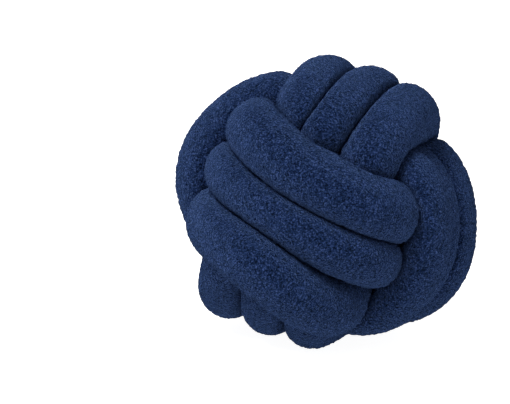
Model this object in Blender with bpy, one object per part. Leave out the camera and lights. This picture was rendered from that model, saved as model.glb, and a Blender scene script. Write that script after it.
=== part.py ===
"""Knot cushion: one long stuffed tube of cloth, tied as a three-turn ball knot (a monkey's fist).

The knot has three bundles of three strands. Each bundle shows on two opposite faces of the ball, where it
lies on top of the next bundle, and dives under the third one at its ends. The tube is a single closed solid.
Its centre line is a smooth curve through the bends of the table below, and each of its sections is round
where it is free and pressed flat where it meets another strand or the floor.

The tables and sizes are in millimetres, in the knot's own axes U, V and W. The finished mesh is in metres,
turned as the cushion rests, with +Z up and the origin on the floor under the middle of its box.
"""

from collections import namedtuple
from math import pi, radians

import bmesh
import bpy
import numpy as np
from mathutils import Euler

MM = 0.001
U, V, W = 0, 1, 2

# ---- how the ball rests -------------------------------------------------------------------------------
RESTING_TURN = (82.5, 23.5, -23.0)      # degrees about X, Y and Z, from the knot's axes to the room's
FLOOR_BELOW_MIDDLE = 136.0              # the knot's middle stands this high once the ball has settled
FLOOR_ROUNDING = 10.0                   # the pressed patch's edge is rounded by a plane this far below it

# ---- the strands under a crossing bundle --------------------------------------------------------------
WAIST_LANE = 30.0                       # from one strand's centre line to the next
WAIST_REACH = 60.0                      # from the knot's middle to the strands' centre lines
WAIST_RADIUS = 46.0                     # half the depth of a strand that is squeezed narrow
FREE_RADIUS = 31.0                      # of a strand that isn't squeezed
CORE_SWELL = 0.5                        # share by which a squeezed strand swells into the knot's core

END_ROUND = 24.0                        # length over which each tucked end closes

# ---- sections -----------------------------------------------------------------------------------------
SECTIONS = 340
SIDES = 16
FINER = 3                               # the surface is worked out this many times finer, then sampled
GUIDE_POINTS = 1000                     # finer points of the centre line, which press on the sections
STRAND_GAP = 1.4                        # open crease between two strands
CREASE_SHARPNESS = 12.0                 # higher is a boxier section with a tighter crease
NEIGHBOUR_SPAN = 75.0                   # sections nearer than this along the tube never press each other
INNER_BEND = 0.92                       # most of the bend's radius that the inside of a bend may take
BEND_DETAIL = 30.0                      # sections stand closer together in bends, by this length per radian
LEAST_RADIUS = 3.0
LEAST_TIP = 0.1                         # share of the strand's radius that is left at its very end
PATH_DETAIL = 12                        # points of the path worked out for each section
NUDGE = 0.001                           # share of a section's step over which a direction is measured
FIRST_SIDE = (0.3, 0.5, 0.8)            # roughly where the first section's rays start from
TINY = 1e-6                             # stands in for zero where something is divided
SETTLING = 3                            # rounds in which the cloth draws sharp ridges in

# ---- cloth --------------------------------------------------------------------------------------------
CLOTH_COLOUR = (0.016, 0.033, 0.088, 1.0)
CLOTH_ROUGHNESS = 0.95

# A bundle runs along one axis on its outer faces, its strands lie side by side across another, and the third
# points out of its faces. lane, face and run are the signs of its first strand, first face and first run.
Bundle = namedtuple("Bundle", "along across out lane face run")
BUNDLES = {
    "A": Bundle(U, V, W, lane=+1, face=+1, run=-1),
    "C": Bundle(V, W, U, lane=-1, face=-1, run=+1),
    "B": Bundle(W, U, V, lane=+1, face=+1, run=-1),
}

# One row for each stretch of the tube that shows on the ball. The lane sizes are where its centre line lies
# across the bundle at its start, middle and end. reach is its height over the knot's middle, and each
# shoulder is the point, so far along and so far out, where it turns down to dive. radius is the strand's.
Arc = namedtuple("Arc", "bundle lane face lane_start lane_middle lane_end reach "
                        "start_along start_out end_along end_out radius")
ARCS = [
    Arc("A", +1, +1, 54, 43, 42, 109, 61, 90, 80, 76, 32.5),
    Arc("A", 0, +1, 6, -3, -5, 114, 75, 72, 88, 70, 28.5),
    Arc("A", -1, +1, -44, -49, -66, 126, 69, 74, 70, 73, 30.0),
    Arc("A", +1, -1, 46, 44, 47, 116, 70, 76, 74, 74, 30.0),
    Arc("A", 0, -1, 2, -2, 1, 118, 73, 74, 71, 77, 30.5),
    Arc("A", -1, -1, -47, -45, -44, 114, 75, 73, 72, 75, 30.0),
    Arc("B", +1, +1, 26, 35, 42, 117, 80, 70, 69, 78, 32.5),
    Arc("B", 0, +1, -11, -2, -9, 118, 60, 75, 78, 81, 31.5),
    Arc("B", -1, +1, -47, -46, -32, 107, 64, 70, 75, 85, 32.5),
    Arc("B", +1, -1, 50, 46, 49, 105, 74, 76, 71, 68, 29.5),
    Arc("B", 0, -1, 1, 1, 7, 115, 81, 70, 77, 73, 27.5),
    Arc("B", -1, -1, -51, -49, -39, 124, 75, 77, 72, 61, 29.0),
    Arc("C", +1, +1, 25, 36, 44, 123, 67, 88, 75, 78, 26.0),
    Arc("C", 0, +1, 5, 1, 2, 117, 64, 77, 70, 70, 29.5),
    Arc("C", -1, +1, -43, -32, -45, 124, 63, 80, 76, 65, 31.5),
    Arc("C", +1, -1, 41, 41, 29, 117, 60, 70, 83, 66, 28.0),
    Arc("C", 0, -1, -2, 1, 2, 117, 72, 75, 74, 73, 30.5),
    Arc("C", -1, -1, -46, -43, -45, 115, 74, 72, 71, 76, 30.0),
]

# The hidden bends, in the directions of the bundle that they belong to: along points to the side where the
# bundle starts, across to the strand's own lane, and out to its first face. The first end leads out of the
# knot's core, the last end leads back into it, and a hand-over is the quarter turn into the next bundle.
Hidden = namedtuple("Hidden", "along across out radius")
FIRST_END = [
    Hidden(-11, -13, -15, 38),
    Hidden(4, 5, -31, 38),
    Hidden(34, 27, -25, 40),
]
LAST_END = [
    Hidden(49, 44, -22, 40),
    Hidden(31, 33, -3, 38),
    Hidden(26, 11, 6, 38),
    Hidden(14, -13, 3, 36),
]
HAND_OVER = [
    Hidden(63, 37, -42, 40),
    Hidden(32, 43, -32, 40),
    Hidden(-4, 60, -44, 44),
]

Bend = namedtuple("Bend", "point radius")


def bend(bundle, along, across, out, radius):
    """A point of the centre line, given in a bundle's own directions."""
    point = np.zeros(3)
    point[bundle.along] = along
    point[bundle.across] = across
    point[bundle.out] = out
    return Bend(point, radius)


def hidden(bundle, rows, lane):
    """Bends inside the knot, on the side where the bundle starts."""
    return [bend(bundle, -bundle.run * row.along, lane * row.across, bundle.face * row.out, row.radius)
            for row in rows]


def waist(bundle, lane, side):
    """The bend of a strand where it is squeezed under the crossing bundle, at its plus or minus side."""
    return bend(bundle, side * WAIST_REACH, lane * WAIST_LANE, 0, WAIST_RADIUS)


def over_face(bundle, arc, run):
    """The three bends of a stretch that shows: its two shoulders and the height of its middle."""
    start = bend(bundle, -arc.start_along, arc.lane_start, arc.face * arc.start_out, arc.radius)
    middle = bend(bundle, 0, arc.lane_middle, arc.face * arc.reach, arc.radius)
    end = bend(bundle, arc.end_along, arc.lane_end, arc.face * arc.end_out, arc.radius)
    return [start, middle, end] if run > 0 else [end, middle, start]


def tube_bends():
    """Every bend of the tube, from its first tucked end to its last."""
    arcs = {(arc.bundle, arc.lane, arc.face): arc for arc in ARCS}
    names = list(BUNDLES)
    opening = BUNDLES[names[0]]
    bends = hidden(opening, FIRST_END, opening.lane) + [waist(opening, opening.lane, -opening.run)]
    for name in names:
        bundle = BUNDLES[name]
        for lane in (bundle.lane, 0, -bundle.lane):
            if lane != bundle.lane:
                bends.append(waist(bundle, lane, -bundle.run))
            bends += over_face(bundle, arcs[name, lane, bundle.face], bundle.run)
            bends.append(waist(bundle, lane, bundle.run))
            bends += over_face(bundle, arcs[name, lane, -bundle.face], -bundle.run)
        bends += hidden(bundle, LAST_END if name == names[-1] else HAND_OVER, -bundle.lane)
    return bends


def cubic_through(knots, values, where):
    """The natural cubic spline through values at knots, read at the places asked for."""
    step = np.diff(knots)
    slope = np.diff(values, axis=0) / step[:, None]
    count = len(knots)
    system = np.eye(count)
    right = np.zeros_like(values)
    for i in range(1, count - 1):
        system[i, i - 1:i + 2] = step[i - 1], 2 * (step[i - 1] + step[i]), step[i]
        right[i] = 6 * (slope[i] - slope[i - 1])
    bow = np.linalg.solve(system, right)
    piece = np.clip(np.searchsorted(knots, where) - 1, 0, count - 2)
    before = ((where - knots[piece]) / step[piece])[:, None]
    after = 1 - before
    straight = after * values[piece] + before * values[piece + 1]
    curved = (after ** 3 - after) * bow[piece] + (before ** 3 - before) * bow[piece + 1]
    return straight + curved * (step[piece] ** 2 / 6)[:, None]


def eased_through(knots, values, where):
    """Values that ease from one knot to the next with no overshoot, and change most near the higher one."""
    piece = np.clip(np.searchsorted(knots, where) - 1, 0, len(knots) - 2)
    part = (where - knots[piece]) / (knots[piece + 1] - knots[piece])
    low = np.minimum(values[piece], values[piece + 1])
    high = np.maximum(values[piece], values[piece + 1])
    near_high = np.where(values[piece + 1] > values[piece], part, 1 - part)
    return low + (high - low) * near_high ** 3 * (4 - 3 * near_high)


def unit(vectors):
    return vectors / np.linalg.norm(vectors, axis=-1, keepdims=True)


def tucked_radii(radii, along):
    """The radii with both ends of the tube rounded off."""
    from_end = np.minimum(along, along[-1] - along)
    part = np.clip(from_end / END_ROUND, 0, 1)
    return radii * np.sqrt(np.maximum(1 - (1 - part) ** 2, LEAST_TIP ** 2))


Line = namedtuple("Line", "centres ways radii along")


def centre_line(bends, count):
    """Centres, directions, radii and lengths along the tube, closer together where it bends."""
    points = np.array([item.point for item in bends])
    radii = np.array([item.radius for item in bends], dtype=float)
    knots = np.append(0, np.cumsum(np.linalg.norm(np.diff(points, axis=0), axis=1) ** 0.5))
    fine = np.linspace(0, knots[-1], PATH_DETAIL * count)
    path = cubic_through(knots, points, fine)
    way = unit(np.diff(path, axis=0))
    length = np.linalg.norm(np.diff(path, axis=0), axis=1)
    turning = np.append(0, np.linalg.norm(np.diff(way, axis=0), axis=1))
    paced = np.append(0, np.cumsum(length + BEND_DETAIL * turning))
    where = np.interp(np.linspace(0, paced[-1], count), paced, fine)
    centres = cubic_through(knots, points, where)
    nudge = NUDGE * knots[-1] / count
    ways = unit(cubic_through(knots, points, where + nudge) - cubic_through(knots, points, where - nudge))
    along = np.interp(where, fine, np.append(0, np.cumsum(length)))
    radii = tucked_radii(eased_through(knots, radii, where), along)
    return Line(centres, ways, radii, along)


def section_rays(ways, sides):
    """Unit rays around each section, carried along the tube without twist."""
    side = np.cross(ways[0], FIRST_SIDE)
    rays = []
    angles = 2 * pi * np.arange(sides) / sides
    for way in ways:
        side = side - way * np.dot(side, way)
        side = side / np.linalg.norm(side)
        other = np.cross(way, side)
        rays.append(np.outer(np.cos(angles), side) + np.outer(np.sin(angles), other))
    return np.array(rays)


def room_in_cloth(line, rays):
    """The radius of the free tube, larger towards the knot's middle where the tube is squeezed."""
    squeezed = np.clip((line.radii - FREE_RADIUS) / (WAIST_RADIUS - FREE_RADIUS), 0, 1)
    inward = np.maximum(-np.einsum("ijk,ik->ij", rays, unit(line.centres)), 0)
    return line.radii[:, None] * (1 + CORE_SWELL * squeezed[:, None] * inward ** 2)


def room_from_strands(line, guide, rays):
    """How far each ray may go before it meets the middle ground between its strand and any other.

    The middle ground of two strands is where the distances to their centre lines, each less its own radius,
    are the same, so a fatter strand takes more of the room.
    """
    room = np.empty(rays.shape[:2])
    for i, centre in enumerate(line.centres):
        far = np.abs(guide.along - line.along[i]) > NEIGHBOUR_SPAN
        offset = guide.centres[far] - centre
        fatter = guide.radii[far] - line.radii[i]
        closing = 2 * (fatter + rays[i] @ offset.T)
        reach = (offset ** 2).sum(axis=1) - fatter ** 2
        meets = closing > TINY
        room[i] = np.where(meets, reach / np.where(meets, closing, 1), np.inf).min(axis=1)
    return np.maximum(room - STRAND_GAP / 2, LEAST_RADIUS)


def room_from_bend(line, rays):
    """How far a ray may go towards the inside of a bend before it reaches the bend's centre."""
    turn = np.zeros_like(line.ways)
    turn[1:-1] = (line.ways[2:] - line.ways[:-2]) / (line.along[2:] - line.along[:-2])[:, None]
    inward = np.einsum("ijk,ik->ij", rays, turn)
    return INNER_BEND / np.maximum(inward, TINY)


def room_from_floor(line, rays, up, height):
    """How far a ray may go before it meets the plane at this height under the knot."""
    above = line.centres @ up - height
    falling = -(rays @ up)
    return above[:, None] / np.maximum(falling, TINY)


def settled(reach):
    """The rays' lengths once the cloth has drawn its sharp ridges in; no ray grows."""
    for _ in range(SETTLING):
        around = np.roll(reach, 1, axis=1) + np.roll(reach, -1, axis=1)
        ahead = 2 * reach
        ahead[1:-1] = reach[:-2] + reach[2:]
        reach = np.minimum(reach, (2 * reach + around + ahead) / 6)
    return reach


def kept_clear(reach):
    """The rays' lengths, each cut to the least of its own and those just before and after it along the tube.

    The solid's faces run straight from one section to the next. This starts each dent a little early, so that
    they stay out of the strand that presses there.
    """
    clear = reach.copy()
    clear[1:-1] = np.minimum(reach[1:-1], np.minimum(reach[:-2], reach[2:]))
    return clear


def tube_rings(count, sides, up):
    """The tube's surface: sides points around each of count sections, in the knot's own axes.

    It is worked out on a finer grid, so that the cloth settles over a few millimetres, and then sampled.
    """
    bends = tube_bends()
    line = centre_line(bends, FINER * (count - 1) + 1)
    rays = section_rays(line.ways, FINER * sides)
    rooms = [
        room_in_cloth(line, rays),
        room_from_strands(line, centre_line(bends, GUIDE_POINTS), rays),
        room_from_bend(line, rays),
        room_from_floor(line, rays, up, -FLOOR_BELOW_MIDDLE - FLOOR_ROUNDING),
    ]
    tightest = sum(room ** -CREASE_SHARPNESS for room in rooms) ** (-1 / CREASE_SHARPNESS)
    reach = np.minimum(kept_clear(settled(tightest)), room_from_floor(line, rays, up, -FLOOR_BELOW_MIDDLE))
    return (line.centres[:, None] + rays * reach[:, :, None])[::FINER, ::FINER]


def loft(name, rings, caps):
    """A closed mesh through the rings, with a fan of faces to a cap point at each end."""
    form = bmesh.new()
    rows = [[form.verts.new(point) for point in ring] for ring in rings]
    sides = len(rows[0])
    for row, following in zip(rows, rows[1:]):
        for j in range(sides):
            k = (j + 1) % sides
            form.faces.new((row[j], row[k], following[k], following[j]))
    for row, cap, turned in ((rows[0], caps[0], True), (rows[-1], caps[1], False)):
        tip = form.verts.new(cap)
        for j in range(sides):
            pair = (row[j], row[(j + 1) % sides])
            form.faces.new((tip,) + (pair[::-1] if turned else pair))
    bmesh.ops.recalc_face_normals(form, faces=form.faces)
    mesh = bpy.data.meshes.new(name)
    form.to_mesh(mesh)
    form.free()
    mesh.shade_smooth()
    return mesh


def cloth():
    """Deep navy cloth with a short dull pile."""
    material = bpy.data.materials.new("navy_boucle")
    material.use_nodes = True
    shader = material.node_tree.nodes["Principled BSDF"]
    shader.inputs["Base Color"].default_value = CLOTH_COLOUR
    shader.inputs["Roughness"].default_value = CLOTH_ROUGHNESS
    shader.inputs["Metallic"].default_value = 0.0
    return material


def main():
    for obj in list(bpy.data.objects):
        bpy.data.objects.remove(obj, do_unlink=True)
    resting = np.array(Euler([radians(angle) for angle in RESTING_TURN], "XYZ").to_matrix())
    up = resting[2]
    rings = tube_rings(SECTIONS, SIDES, up) @ resting.T
    rings[:, :, 2] += FLOOR_BELOW_MIDDLE
    low, high = rings.min(axis=(0, 1)), rings.max(axis=(0, 1))
    rings[:, :, :2] -= (low + high)[:2] / 2
    caps = rings[[0, -1]].mean(axis=1)
    mesh = loft("knot_tube", rings * MM, caps * MM)
    mesh.materials.append(cloth())
    cushion = bpy.data.collections.new("knot_cushion")
    bpy.context.scene.collection.children.link(cushion)
    tube = bpy.data.objects.new("knot_tube", mesh)
    cushion.objects.link(tube)


main()
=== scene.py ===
"""Looks of the knot cushion: the tied tube as finely lofted cloth with a short curly pile.

The tube's centre line and sections follow the same tables and rules as the CAD solid, worked out again on a
mesh about ten times finer, so that each strand keeps its place, its pressed sides and its creases. On top of
that come the loops of the pile, as raised nubs in the mesh and as finer grain in the material, whose colour
also holds painted shade in the pits between the curls and painted highlights on the curl tips.
"""
from collections import namedtuple
from math import pi, radians

import bpy
import numpy as np
from mathutils import Euler, Matrix, noise


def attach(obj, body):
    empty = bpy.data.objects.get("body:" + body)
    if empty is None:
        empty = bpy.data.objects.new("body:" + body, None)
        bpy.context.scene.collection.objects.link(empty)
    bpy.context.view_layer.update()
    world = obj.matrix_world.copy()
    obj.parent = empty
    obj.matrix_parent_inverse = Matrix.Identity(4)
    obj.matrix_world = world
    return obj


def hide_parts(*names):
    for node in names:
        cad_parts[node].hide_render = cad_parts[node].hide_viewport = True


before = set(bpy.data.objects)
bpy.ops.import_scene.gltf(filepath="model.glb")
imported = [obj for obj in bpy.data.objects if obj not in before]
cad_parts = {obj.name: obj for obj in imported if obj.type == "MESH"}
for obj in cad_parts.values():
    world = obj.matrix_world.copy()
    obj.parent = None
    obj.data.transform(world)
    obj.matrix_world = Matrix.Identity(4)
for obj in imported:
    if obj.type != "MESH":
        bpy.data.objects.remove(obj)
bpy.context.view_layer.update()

MM = 0.001
U, V, W = 0, 1, 2

# ---- the knot, as in the CAD solid (millimetres) --------------------------------------------------------
RESTING_TURN = (82.5, 23.5, -23.0)
FLOOR_BELOW_MIDDLE = 136.0
FLOOR_ROUNDING = 10.0
WAIST_LANE = 30.0
WAIST_REACH = 60.0
WAIST_RADIUS = 46.0
FREE_RADIUS = 31.0
CORE_SWELL = 0.5
END_ROUND = 24.0
LEAST_TIP = 0.1                         # a rounded end's least radius, as a share
GUIDE_POINTS = 1000
PATH_DETAIL = 12                        # steps along the curve for each section asked for
STRAND_GAP = 1.4
CREASE_SHARPNESS = 12.0
NEIGHBOUR_SPAN = 75.0
NEIGHBOUR_REACH = 2.6 * WAIST_RADIUS
INNER_BEND = 0.92
BEND_DETAIL = 30.0
LEAST_RADIUS = 3.0
KNOT_MIDDLE = np.array([-3.57, 1.57, FLOOR_BELOW_MIDDLE])   # where it stands in the room
FIRST_SIDE = (0.3, 0.5, 0.8)            # the side from which the sections' rays are counted
NUDGE = 1e-3                            # of a section's step, to read the curve's direction
TINY = 1e-6
FAR = 1e4

# ---- the fine mesh ---------------------------------------------------------------------------------------
SIDES = 116
FINE_STEP = 1.65                        # between sections where the strand shows
HIDDEN_STEP = 5.5                       # between sections inside the knot
SHOWN_BEYOND = (70.0, 84.0)             # distance from the knot's middle at which a strand comes into sight
SETTLING = 18                           # times that the cloth draws its ridges in
LEAST_HEIGHT = 0.25                     # the pile is squashed flat on the floor

Bundle = namedtuple("Bundle", "along across out lane face run")
BUNDLES = {
    "A": Bundle(U, V, W, lane=+1, face=+1, run=-1),
    "C": Bundle(V, W, U, lane=-1, face=-1, run=+1),
    "B": Bundle(W, U, V, lane=+1, face=+1, run=-1),
}
Arc = namedtuple("Arc", "bundle lane face lane_start lane_middle lane_end reach "
                        "start_along start_out end_along end_out radius")
ARCS = [
    Arc("A", +1, +1, 54, 43, 42, 109, 61, 90, 80, 76, 32.5),
    Arc("A", 0, +1, 6, -3, -5, 114, 75, 72, 88, 70, 28.5),
    Arc("A", -1, +1, -44, -49, -66, 126, 69, 74, 70, 73, 30.0),
    Arc("A", +1, -1, 46, 44, 47, 116, 70, 76, 74, 74, 30.0),
    Arc("A", 0, -1, 2, -2, 1, 118, 73, 74, 71, 77, 30.5),
    Arc("A", -1, -1, -47, -45, -44, 114, 75, 73, 72, 75, 30.0),
    Arc("B", +1, +1, 26, 35, 42, 117, 80, 70, 69, 78, 32.5),
    Arc("B", 0, +1, -11, -2, -9, 118, 60, 75, 78, 81, 31.5),
    Arc("B", -1, +1, -47, -46, -32, 107, 64, 70, 75, 85, 32.5),
    Arc("B", +1, -1, 50, 46, 49, 105, 74, 76, 71, 68, 29.5),
    Arc("B", 0, -1, 1, 1, 7, 115, 81, 70, 77, 73, 27.5),
    Arc("B", -1, -1, -51, -49, -39, 124, 75, 77, 72, 61, 29.0),
    Arc("C", +1, +1, 25, 36, 44, 123, 67, 88, 75, 78, 26.0),
    Arc("C", 0, +1, 5, 1, 2, 117, 64, 77, 70, 70, 29.5),
    Arc("C", -1, +1, -43, -32, -45, 124, 63, 80, 76, 65, 31.5),
    Arc("C", +1, -1, 41, 41, 29, 117, 60, 70, 83, 66, 28.0),
    Arc("C", 0, -1, -2, 1, 2, 117, 72, 75, 74, 73, 30.5),
    Arc("C", -1, -1, -46, -43, -45, 115, 74, 72, 71, 76, 30.0),
]
Hidden = namedtuple("Hidden", "along across out radius")
FIRST_END = [
    Hidden(-11, -13, -15, 38),
    Hidden(4, 5, -31, 38),
    Hidden(34, 27, -25, 40),
]
LAST_END = [
    Hidden(49, 44, -22, 40),
    Hidden(31, 33, -3, 38),
    Hidden(26, 11, 6, 38),
    Hidden(14, -13, 3, 36),
]
HAND_OVER = [
    Hidden(63, 37, -42, 40),
    Hidden(32, 43, -32, 40),
    Hidden(-4, 60, -44, 44),
]
Bend = namedtuple("Bend", "point radius")
Line = namedtuple("Line", "centres ways radii along")


def bend(bundle, along, across, out, radius):
    point = np.zeros(3)
    point[bundle.along] = along
    point[bundle.across] = across
    point[bundle.out] = out
    return Bend(point, radius)


def hidden(bundle, rows, lane):
    return [bend(bundle, -bundle.run * row.along, lane * row.across, bundle.face * row.out, row.radius)
            for row in rows]


def waist(bundle, lane, side):
    return bend(bundle, side * WAIST_REACH, lane * WAIST_LANE, 0, WAIST_RADIUS)


def over_face(bundle, arc, run):
    start = bend(bundle, -arc.start_along, arc.lane_start, arc.face * arc.start_out, arc.radius)
    middle = bend(bundle, 0, arc.lane_middle, arc.face * arc.reach, arc.radius)
    end = bend(bundle, arc.end_along, arc.lane_end, arc.face * arc.end_out, arc.radius)
    return [start, middle, end] if run > 0 else [end, middle, start]


def tube_bends():
    """Every bend of the tube, and the bends inside the knot at which one turn's piece ends."""
    arcs = {(arc.bundle, arc.lane, arc.face): arc for arc in ARCS}
    names = list(BUNDLES)
    opening = BUNDLES[names[0]]
    bends = hidden(opening, FIRST_END, opening.lane) + [waist(opening, opening.lane, -opening.run)]
    cuts = []
    for name in names:
        bundle = BUNDLES[name]
        for lane in (bundle.lane, 0, -bundle.lane):
            if lane != bundle.lane:
                cuts.append(len(bends))
                bends.append(waist(bundle, lane, -bundle.run))
            bends += over_face(bundle, arcs[name, lane, bundle.face], bundle.run)
            bends.append(waist(bundle, lane, bundle.run))
            bends += over_face(bundle, arcs[name, lane, -bundle.face], -bundle.run)
        if name != names[-1]:
            cuts.append(len(bends) + 1)
        bends += hidden(bundle, LAST_END if name == names[-1] else HAND_OVER, -bundle.lane)
    return bends, cuts


def cubic_through(knots, values, where):
    """The natural cubic spline through values at knots, read at the places asked for."""
    step = np.diff(knots)
    slope = np.diff(values, axis=0) / step[:, None]
    count = len(knots)
    system = np.eye(count)
    right = np.zeros_like(values)
    for i in range(1, count - 1):
        system[i, i - 1:i + 2] = step[i - 1], 2 * (step[i - 1] + step[i]), step[i]
        right[i] = 6 * (slope[i] - slope[i - 1])
    bow = np.linalg.solve(system, right)
    piece = np.clip(np.searchsorted(knots, where) - 1, 0, count - 2)
    before = ((where - knots[piece]) / step[piece])[:, None]
    after = 1 - before
    straight = after * values[piece] + before * values[piece + 1]
    curved = (after ** 3 - after) * bow[piece] + (before ** 3 - before) * bow[piece + 1]
    return straight + curved * (step[piece] ** 2 / 6)[:, None]


def eased_through(knots, values, where):
    """Values that ease from one knot to the next with no overshoot, and change most near the higher one."""
    piece = np.clip(np.searchsorted(knots, where) - 1, 0, len(knots) - 2)
    part = (where - knots[piece]) / (knots[piece + 1] - knots[piece])
    low = np.minimum(values[piece], values[piece + 1])
    high = np.maximum(values[piece], values[piece + 1])
    near_high = np.where(values[piece + 1] > values[piece], part, 1 - part)
    return low + (high - low) * near_high ** 3 * (4 - 3 * near_high)


def unit(vectors):
    return vectors / np.linalg.norm(vectors, axis=-1, keepdims=True)


def smooth_step(low, high, values):
    part = np.clip((values - low) / (high - low), 0, 1)
    return part * part * (3 - 2 * part)


def tucked_radii(radii, along):
    """The radii with both ends of the tube rounded off."""
    from_end = np.minimum(along, along[-1] - along)
    part = np.clip(from_end / END_ROUND, 0, 1)
    return radii * np.sqrt(np.maximum(1 - (1 - part) ** 2, LEAST_TIP ** 2))


def spline_knots(bends):
    points = np.array([item.point for item in bends])
    return points, np.append(0, np.cumsum(np.linalg.norm(np.diff(points, axis=0), axis=1) ** 0.5))


def centre_line(bends, count=None):
    """The centre line in count sections, as the CAD solid spaces them, or in the fine mesh's own steps."""
    points, knots = spline_knots(bends)
    radii = np.array([item.radius for item in bends], dtype=float)
    fine = np.linspace(0, knots[-1], PATH_DETAIL * (count or GUIDE_POINTS))
    path = cubic_through(knots, points, fine)
    way = unit(np.diff(path, axis=0))
    length = np.linalg.norm(np.diff(path, axis=0), axis=1)
    if count:
        turning = np.append(0, np.linalg.norm(np.diff(way, axis=0), axis=1))
        paced = np.append(0, np.cumsum(length + BEND_DETAIL * turning))
    else:
        shown = smooth_step(*SHOWN_BEYOND, np.linalg.norm(path[1:], axis=1))
        paced = np.append(0, np.cumsum(length * (shown / FINE_STEP + (1 - shown) / HIDDEN_STEP)))
        count = int(paced[-1])
    where = np.interp(np.linspace(0, paced[-1], count), paced, fine)
    centres = cubic_through(knots, points, where)
    nudge = NUDGE * knots[-1] / count
    ways = unit(cubic_through(knots, points, where + nudge) - cubic_through(knots, points, where - nudge))
    along = np.interp(where, fine, np.append(0, np.cumsum(length)))
    radii = tucked_radii(eased_through(knots, radii, where), along)
    return Line(centres, ways, radii, along), where


def section_rays(ways, sides):
    """Unit rays around each section, carried along the tube without twist."""
    side = np.cross(ways[0], FIRST_SIDE)
    rays = []
    angles = 2 * pi * np.arange(sides) / sides
    for way in ways:
        side = side - way * np.dot(side, way)
        side = side / np.linalg.norm(side)
        other = np.cross(way, side)
        rays.append(np.outer(np.cos(angles), side) + np.outer(np.sin(angles), other))
    return np.array(rays)


def room_in_cloth(line, rays):
    squeezed = np.clip((line.radii - FREE_RADIUS) / (WAIST_RADIUS - FREE_RADIUS), 0, 1)
    inward = np.maximum(-np.einsum("ijk,ik->ij", rays, unit(line.centres)), 0)
    return line.radii[:, None] * (1 + CORE_SWELL * squeezed[:, None] * inward ** 2)


def room_from_strands(line, guide, rays):
    room = np.empty(rays.shape[:2])
    for i, centre in enumerate(line.centres):
        offset = guide.centres - centre
        near = (offset ** 2).sum(axis=1) < NEIGHBOUR_REACH ** 2
        near &= np.abs(guide.along - line.along[i]) > NEIGHBOUR_SPAN
        offset = offset[near]
        fatter = guide.radii[near] - line.radii[i]
        closing = 2 * (fatter + rays[i] @ offset.T)
        reach = (offset ** 2).sum(axis=1) - fatter ** 2
        meets = closing > TINY
        room[i] = np.where(meets, reach / np.where(meets, closing, 1), np.inf).min(axis=1, initial=FAR)
    return np.maximum(room - STRAND_GAP / 2, LEAST_RADIUS)


def room_from_bend(line, rays):
    turn = np.zeros_like(line.ways)
    turn[1:-1] = (line.ways[2:] - line.ways[:-2]) / (line.along[2:] - line.along[:-2])[:, None]
    inward = np.einsum("ijk,ik->ij", rays, turn)
    return INNER_BEND / np.maximum(inward, TINY)


def room_from_floor(line, rays, up, height):
    above = line.centres @ up - height
    falling = -(rays @ up)
    return above[:, None] / np.maximum(falling, TINY)


def settled(reach):
    """The rays' lengths once the cloth has drawn its sharp ridges in; no ray grows."""
    for _ in range(SETTLING):
        around = np.roll(reach, 1, axis=1) + np.roll(reach, -1, axis=1)
        ahead = 2 * reach
        ahead[1:-1] = reach[:-2] + reach[2:]
        reach = np.minimum(reach, (2 * reach + around + ahead) / 6)
    return reach


def tube_rings(bends, sides, up):
    """The tube's surface, how freely it stands (1 where nothing presses on it) and each section's place."""
    line, where = centre_line(bends)
    rays = section_rays(line.ways, sides)
    free = room_in_cloth(line, rays)
    rooms = [
        free,
        room_from_strands(line, centre_line(bends, GUIDE_POINTS)[0], rays),
        room_from_bend(line, rays),
        room_from_floor(line, rays, up, -FLOOR_BELOW_MIDDLE - FLOOR_ROUNDING),
    ]
    reach = settled(sum(room ** -CREASE_SHARPNESS for room in rooms) ** (-1 / CREASE_SHARPNESS))
    reach = np.minimum(reach, room_from_floor(line, rays, up, -FLOOR_BELOW_MIDDLE))
    return line.centres[:, None] + rays * reach[:, :, None], reach / free, where


# ---- the pile --------------------------------------------------------------------------------------------
NUB_PITCH = 3.9                         # from one curl of the pile to the next
NUB_HEIGHT = 2.2
NUB_MIDDLE = 0.42                       # distance from a nub's middle, in pitches, at which it is level
PILE_RISE = 0.6
LUMP_PITCH = 9.0
LUMP_HEIGHT = 0.3
PILE_SEED = 11.7
PRESSED_PILE = 0.35                     # share of the pile's height left where strands press on it
PRESSED_TO_FREE = (0.6, 0.9)            # how freely the cloth stands there, and where the pile is full again
LEAST_PILE = 0.01                       # below this share no pile is raised

# ---- the pile's look in the material ---------------------------------------------------------------------
CURL_PITCH = 4.2
CURL_SHARPNESS = 11.0
CURL_DETAIL = 1.0
CURL_DEPTH = 3.2
GRAIN_PITCH = 1.6
GRAIN_DETAIL = 2.0
CREASE_SHARE = 0.24                     # of the curls' lines in the height, which sinks the bump and picks the colour with its painted shade
GRAIN_SHARE = 2.15
TONE_SHIFT = -0.84
NOISE_ROUGHNESS = 0.6
NOISE_MIDDLE = 0.5
MOTTLE_PITCH = 22.0
MOTTLE_DETAIL = 2.0
MOTTLE_NOISE = (0.3, 0.7)
MOTTLE_SHADE = (0.97, 1.03)
# The pile's colour ramp: painted shade in the pits, the cloth's own navy, and painted highlights on the curl
# tips.
PAINTED_PIT_SHADE = (0.0010, 0.0034, 0.0080, 1)
MID_COLOUR = (0.0112, 0.0252, 0.0790, 1)
PAINTED_TIP_HIGHLIGHT = (0.0560, 0.0970, 0.2700, 1)
MID_TONE = 0.48
SHEEN = 0.20
SHEEN_ROUGHNESS = 0.17
SHEEN_TINT = (0.28, 0.47, 1.0, 1)


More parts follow.
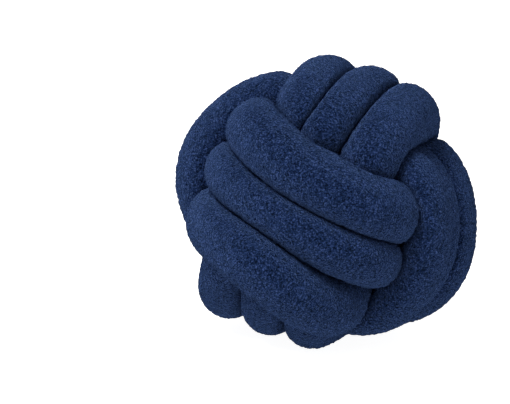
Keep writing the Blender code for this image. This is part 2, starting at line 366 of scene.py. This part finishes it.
def pile_height(points):
    """How far the pile stands out at each point: round nubs with sharp pits between them, on soft lumps."""
    heights = np.empty(len(points))
    for i, (x, y, z) in enumerate(points):
        spot = (x / NUB_PITCH + PILE_SEED, y / NUB_PITCH, z / NUB_PITCH)
        nearest = noise.voronoi(spot)[0][0]
        lump = noise.noise((x / LUMP_PITCH, y / LUMP_PITCH + PILE_SEED, z / LUMP_PITCH))
        heights[i] = PILE_RISE + NUB_HEIGHT * (NUB_MIDDLE - nearest) + LUMP_HEIGHT * lump
    return heights


def grid_normals(rings):
    around = np.roll(rings, -1, axis=1) - np.roll(rings, 1, axis=1)
    ahead = np.gradient(rings, axis=0)
    return unit(np.cross(around, ahead))


# ---- building the pieces ---------------------------------------------------------------------------------
BAND_SHARE = 0.44                       # of the map's height, for each half of a piece's length
BAND_STEP = 0.46
CAP_SHARE = 0.03
CAP_PLACES = ((0.05, 0.96), (0.15, 0.96))


def add_map(mesh, count, sides):
    """A flat map of the piece: its length in two bands, one above the other, and its two caps over them."""
    half = (count - 1) // 2 + 1
    row = np.arange(count - 1)[:, None]
    band = row // half
    near = (row - band * half) / half
    low = band * BAND_STEP + BAND_SHARE * np.arange(sides) / sides
    high = low + BAND_SHARE / sides
    near = np.broadcast_to(near, low.shape)
    far = near + 1 / half
    quads = np.stack([near, low, near, high, far, high, far, low], axis=-1).reshape(-1, 2)
    turn = 2 * pi * np.arange(sides + 1) / sides
    ring = CAP_SHARE * np.stack([np.cos(turn), np.sin(turn)], axis=-1)
    fans = [np.stack([np.broadcast_to(0, (sides, 2)), ring[:-1], ring[1:]], axis=1).reshape(-1, 2) + place
            for place in CAP_PLACES]
    layer = mesh.uv_layers.new(name="OFBake")
    layer.data.foreach_set("uv", np.vstack([quads] + fans).astype(np.float32).ravel())


def turn_mesh(name, rings):
    """A closed mesh through the rings, with a fan of faces to a cap point at each end."""
    count, sides = rings.shape[:2]
    caps = rings[[0, -1]].mean(axis=1)
    points = np.vstack([rings.reshape(-1, 3), caps])
    row = np.arange(count)[:, None] * sides
    column = np.arange(sides)
    following = (column + 1) % sides
    here, beside = row[:-1] + column, row[:-1] + following
    quads = np.stack([here, beside, beside + sides, here + sides], axis=-1).reshape(-1, 4)
    first, last = count * sides, count * sides + 1
    top = (count - 1) * sides
    fans = [(first, b, a) for a, b in zip(column.tolist(), following.tolist())]
    fans += [(last, top + a, top + b) for a, b in zip(column.tolist(), following.tolist())]
    mesh = bpy.data.meshes.new(name)
    mesh.from_pydata(points.tolist(), [], quads.tolist() + fans)
    add_map(mesh, count, sides)
    mesh.shade_smooth()
    return mesh


def add_piece(name, rings, material):
    piece = bpy.data.objects.new(name, turn_mesh(name, rings))
    bpy.context.scene.collection.objects.link(piece)
    piece.data.materials.append(material)
    return piece


# ---- materials -------------------------------------------------------------------------------------------
def nodes_of(material):
    material.use_nodes = True
    tree = material.node_tree
    return tree.nodes, tree.links, tree.nodes["Principled BSDF"]


def boucle():
    """Navy curly pile: painted shade in the pits between the curls, painted highlights on the curl tips,
    soft mottling and a faint sheen.
    """
    material = bpy.data.materials.new("navy_boucle_pile")
    nodes, links, shader = nodes_of(material)
    place = nodes.new("ShaderNodeTexCoord").outputs["Object"]

    def math(operation, *values, clamp=False):
        node = nodes.new("ShaderNodeMath")
        node.operation = operation
        node.use_clamp = clamp
        for socket, value in zip(node.inputs, values):
            if isinstance(value, (int, float)):
                socket.default_value = value
            else:
                links.new(value, socket)
        return node.outputs[0]

    def noise_at(pitch, detail):
        node = nodes.new("ShaderNodeTexNoise")
        node.inputs["Scale"].default_value = 1 / (pitch * MM)
        node.inputs["Detail"].default_value = detail
        node.inputs["Roughness"].default_value = NOISE_ROUGHNESS
        links.new(place, node.inputs["Vector"])
        return node.outputs["Fac"]

    # Winding lines between the curls, sunk in the bump and darkened with painted shade in the colour: 0
    # along them and 1 away from them.
    middle = math("SUBTRACT", noise_at(CURL_PITCH, CURL_DETAIL), NOISE_MIDDLE)
    creases = math("MULTIPLY", math("ABSOLUTE", middle), CURL_SHARPNESS, clamp=True)
    grain = noise_at(GRAIN_PITCH, GRAIN_DETAIL)
    height = math("ADD", math("MULTIPLY", creases, CREASE_SHARE), math("MULTIPLY", grain, GRAIN_SHARE))
    # Low heights take the painted shade of the pits, and high ones take the painted highlights of the tips.
    painted_light_tone = math("ADD", height, TONE_SHIFT)
    ramp = nodes.new("ShaderNodeValToRGB")
    ramp.color_ramp.elements.new(MID_TONE)
    for element, colour in zip(ramp.color_ramp.elements, (PAINTED_PIT_SHADE, MID_COLOUR, PAINTED_TIP_HIGHLIGHT)):
        element.color = colour
    links.new(painted_light_tone, ramp.inputs["Fac"])

    shade = nodes.new("ShaderNodeMapRange")
    shade.inputs["From Min"].default_value, shade.inputs["From Max"].default_value = MOTTLE_NOISE
    shade.inputs["To Min"].default_value, shade.inputs["To Max"].default_value = MOTTLE_SHADE
    links.new(noise_at(MOTTLE_PITCH, MOTTLE_DETAIL), shade.inputs["Value"])
    scaled = nodes.new("ShaderNodeVectorMath")
    scaled.operation = "SCALE"
    links.new(ramp.outputs["Color"], scaled.inputs[0])
    links.new(shade.outputs["Result"], scaled.inputs["Scale"])
    links.new(scaled.outputs["Vector"], shader.inputs["Base Color"])

    bump = nodes.new("ShaderNodeBump")
    bump.inputs["Strength"].default_value = 1.0
    bump.inputs["Distance"].default_value = CURL_DEPTH * MM
    links.new(height, bump.inputs["Height"])
    links.new(bump.outputs["Normal"], shader.inputs["Normal"])

    shader.inputs["Roughness"].default_value = 1.0
    shader.inputs["Specular IOR Level"].default_value = 0.0
    shader.inputs["Sheen Weight"].default_value = SHEEN
    shader.inputs["Sheen Roughness"].default_value = SHEEN_ROUGHNESS
    shader.inputs["Sheen Tint"].default_value = SHEEN_TINT
    return material


FLOOR_COLOUR = (0.40, 0.40, 0.40, 1)
FLOOR_GLOW = 0.95                       # the floor is a softly lit white table
FLOOR_ROUGHNESS = 0.9
FLOOR_HALF = 14.0                       # metres


def pale_floor():
    material = bpy.data.materials.new("pale_floor")
    _, _, shader = nodes_of(material)
    shader.inputs["Base Color"].default_value = FLOOR_COLOUR
    shader.inputs["Emission Color"].default_value = (1, 1, 1, 1)
    shader.inputs["Emission Strength"].default_value = FLOOR_GLOW
    shader.inputs["Roughness"].default_value = FLOOR_ROUGHNESS
    shader.inputs["Specular IOR Level"].default_value = 0.0
    return material


# ---- the cushion -----------------------------------------------------------------------------------------
TO_ROOM = np.array(Euler([radians(angle) for angle in RESTING_TURN], "XYZ").to_matrix())
BENDS, CUTS = tube_bends()


def in_room(points):
    """From the knot's own axes, in millimetres, to the room's, in metres."""
    return (points @ TO_ROOM.T + KNOT_MIDDLE) * MM


def build_cushion():
    cloth = boucle()
    rings, freely, where = tube_rings(BENDS, SIDES, TO_ROOM[2])
    shown = smooth_step(*SHOWN_BEYOND, np.linalg.norm(rings, axis=2))
    standing = shown * (PRESSED_PILE + (1 - PRESSED_PILE) * smooth_step(*PRESSED_TO_FREE, freely))
    touched = np.flatnonzero(standing.reshape(-1) > LEAST_PILE)
    raised = np.zeros(standing.size)
    raised[touched] = pile_height(rings.reshape(-1, 3)[touched])
    raised = raised.reshape(standing.shape) * standing
    rings = in_room(rings + grid_normals(rings) * raised[:, :, None])
    rings[:, :, 2] = np.maximum(rings[:, :, 2], LEAST_HEIGHT * MM)
    _, knots = spline_knots(BENDS)
    ends = [0] + [int(np.searchsorted(where, knots[cut])) for cut in CUTS] + [len(rings) - 1]
    for i, (start, end) in enumerate(zip(ends, ends[1:])):
        piece = add_piece(f"pile_turn_{i + 1}", rings[start:end + 1], cloth)
        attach(piece, "root")
        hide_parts("knot_tube")


# ---- the room --------------------------------------------------------------------------------------------
def add_floor():
    mesh = bpy.data.meshes.new("floor")
    corners = [(x * FLOOR_HALF, y * FLOOR_HALF, 0) for x, y in ((-1, -1), (1, -1), (1, 1), (-1, 1))]
    mesh.from_pydata(corners, [], [(0, 1, 2, 3)])
    mesh.materials.append(pale_floor())
    floor = bpy.data.objects.new("floor", mesh)
    bpy.context.scene.collection.objects.link(floor)


WORLD_LIGHT = 0.42
Sun = namedtuple("Sun", "name turn strength wide")
SUNS = [
    Sun("key", turn=(33, 0, -45), strength=4.6, wide=30),
    Sun("fill", turn=(50, 0, 40), strength=0.4, wide=70),
]


def add_light():
    world = bpy.data.worlds.new("studio")
    world.use_nodes = True
    background = world.node_tree.nodes["Background"]
    background.inputs["Color"].default_value = (1.0, 1.0, 1.0, 1)
    background.inputs["Strength"].default_value = WORLD_LIGHT
    bpy.context.scene.world = world
    for row in SUNS:
        sun = bpy.data.lights.new(row.name, "SUN")
        sun.energy = row.strength
        sun.angle = radians(row.wide)
        lamp = bpy.data.objects.new(row.name, sun)
        lamp.rotation_euler = [radians(angle) for angle in row.turn]
        bpy.context.scene.collection.objects.link(lamp)


# The camera, in the knot's own axes: its right, up and backward directions, and the knot's middle in pixels.
CAMERA_AXES = np.array([
    (0.84262, 0.41699, -0.34076),
    (-0.46673, 0.88114, -0.07586),
    (0.26862, 0.22296, 0.93709),
])
CAMERA_DISTANCE = 1900.0
FOCAL_PIXELS = 1900.0
SENSOR_WIDTH = 36.0
SIGHT_END = 100.0                       # metres
PICTURE = (510, 404)
MIDDLE_PIXEL = (322.58, 204.58)


def add_camera():
    axes = TO_ROOM @ CAMERA_AXES.T
    camera = bpy.data.cameras.new("camera")
    camera.sensor_width = SENSOR_WIDTH
    camera.lens = SENSOR_WIDTH * FOCAL_PIXELS / PICTURE[0]
    camera.shift_x = -(MIDDLE_PIXEL[0] - PICTURE[0] / 2) / PICTURE[0]
    camera.shift_y = (MIDDLE_PIXEL[1] - PICTURE[1] / 2) / PICTURE[0]
    camera.clip_end = SIGHT_END
    viewer = bpy.data.objects.new("camera", camera)
    place = (KNOT_MIDDLE + CAMERA_DISTANCE * axes[:, 2]) * MM
    matrix = Matrix(axes.tolist()).to_4x4()
    matrix.translation = place.tolist()
    viewer.matrix_world = matrix
    bpy.context.scene.collection.objects.link(viewer)
    bpy.context.scene.camera = viewer


build_cushion()
add_floor()
add_light()
add_camera()
bpy.context.scene.view_settings.view_transform = "Standard"
